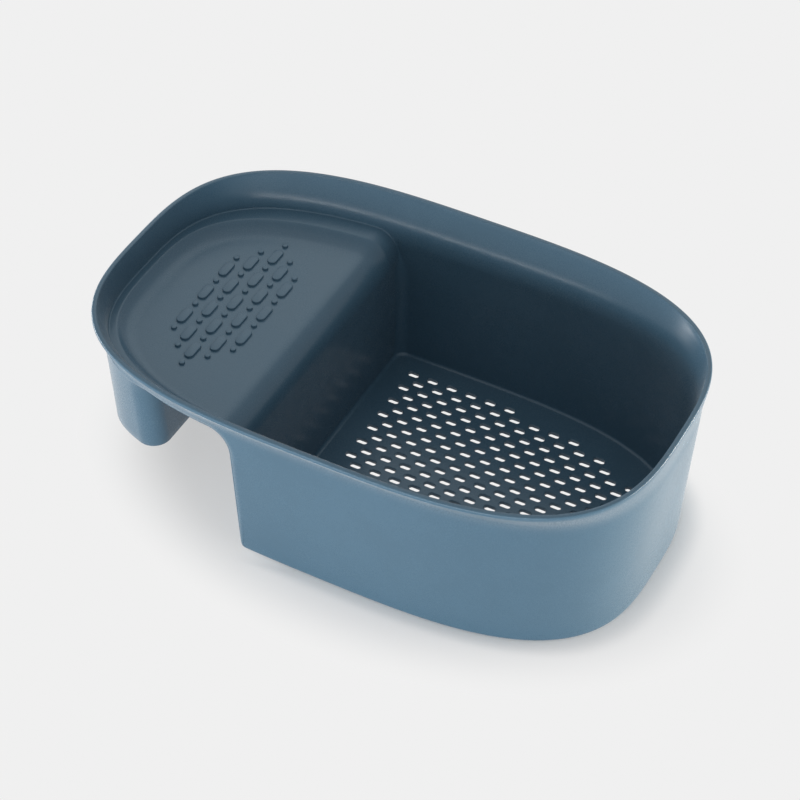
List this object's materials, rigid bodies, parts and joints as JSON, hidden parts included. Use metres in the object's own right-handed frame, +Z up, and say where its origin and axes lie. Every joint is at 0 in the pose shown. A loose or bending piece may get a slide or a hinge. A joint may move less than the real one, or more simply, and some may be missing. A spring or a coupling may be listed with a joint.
{
  "type": "sink drain basket",
  "caption": "Oblong sink basket with a slotted drain floor, a shallow grip tray on one side and a hollow leg that hooks over the wall between two sinks.",
  "frame": {"origin": "under the middle of the rim, on the plane that the basket's floor stands on", "axes": "+X along the length towards the basket's end, +Z up through the open top"},
  "size_m": [0.297, 0.19, 0.096],
  "materials": {
    "plastic": "satin dusk blue moulding"
  },
  "bodies": {
    "root": {"outer_shell": "plastic", "saddle_tray": "plastic", "drain_plate": "plastic", "hook_leg": "plastic"}
  },
  "joints": []
}
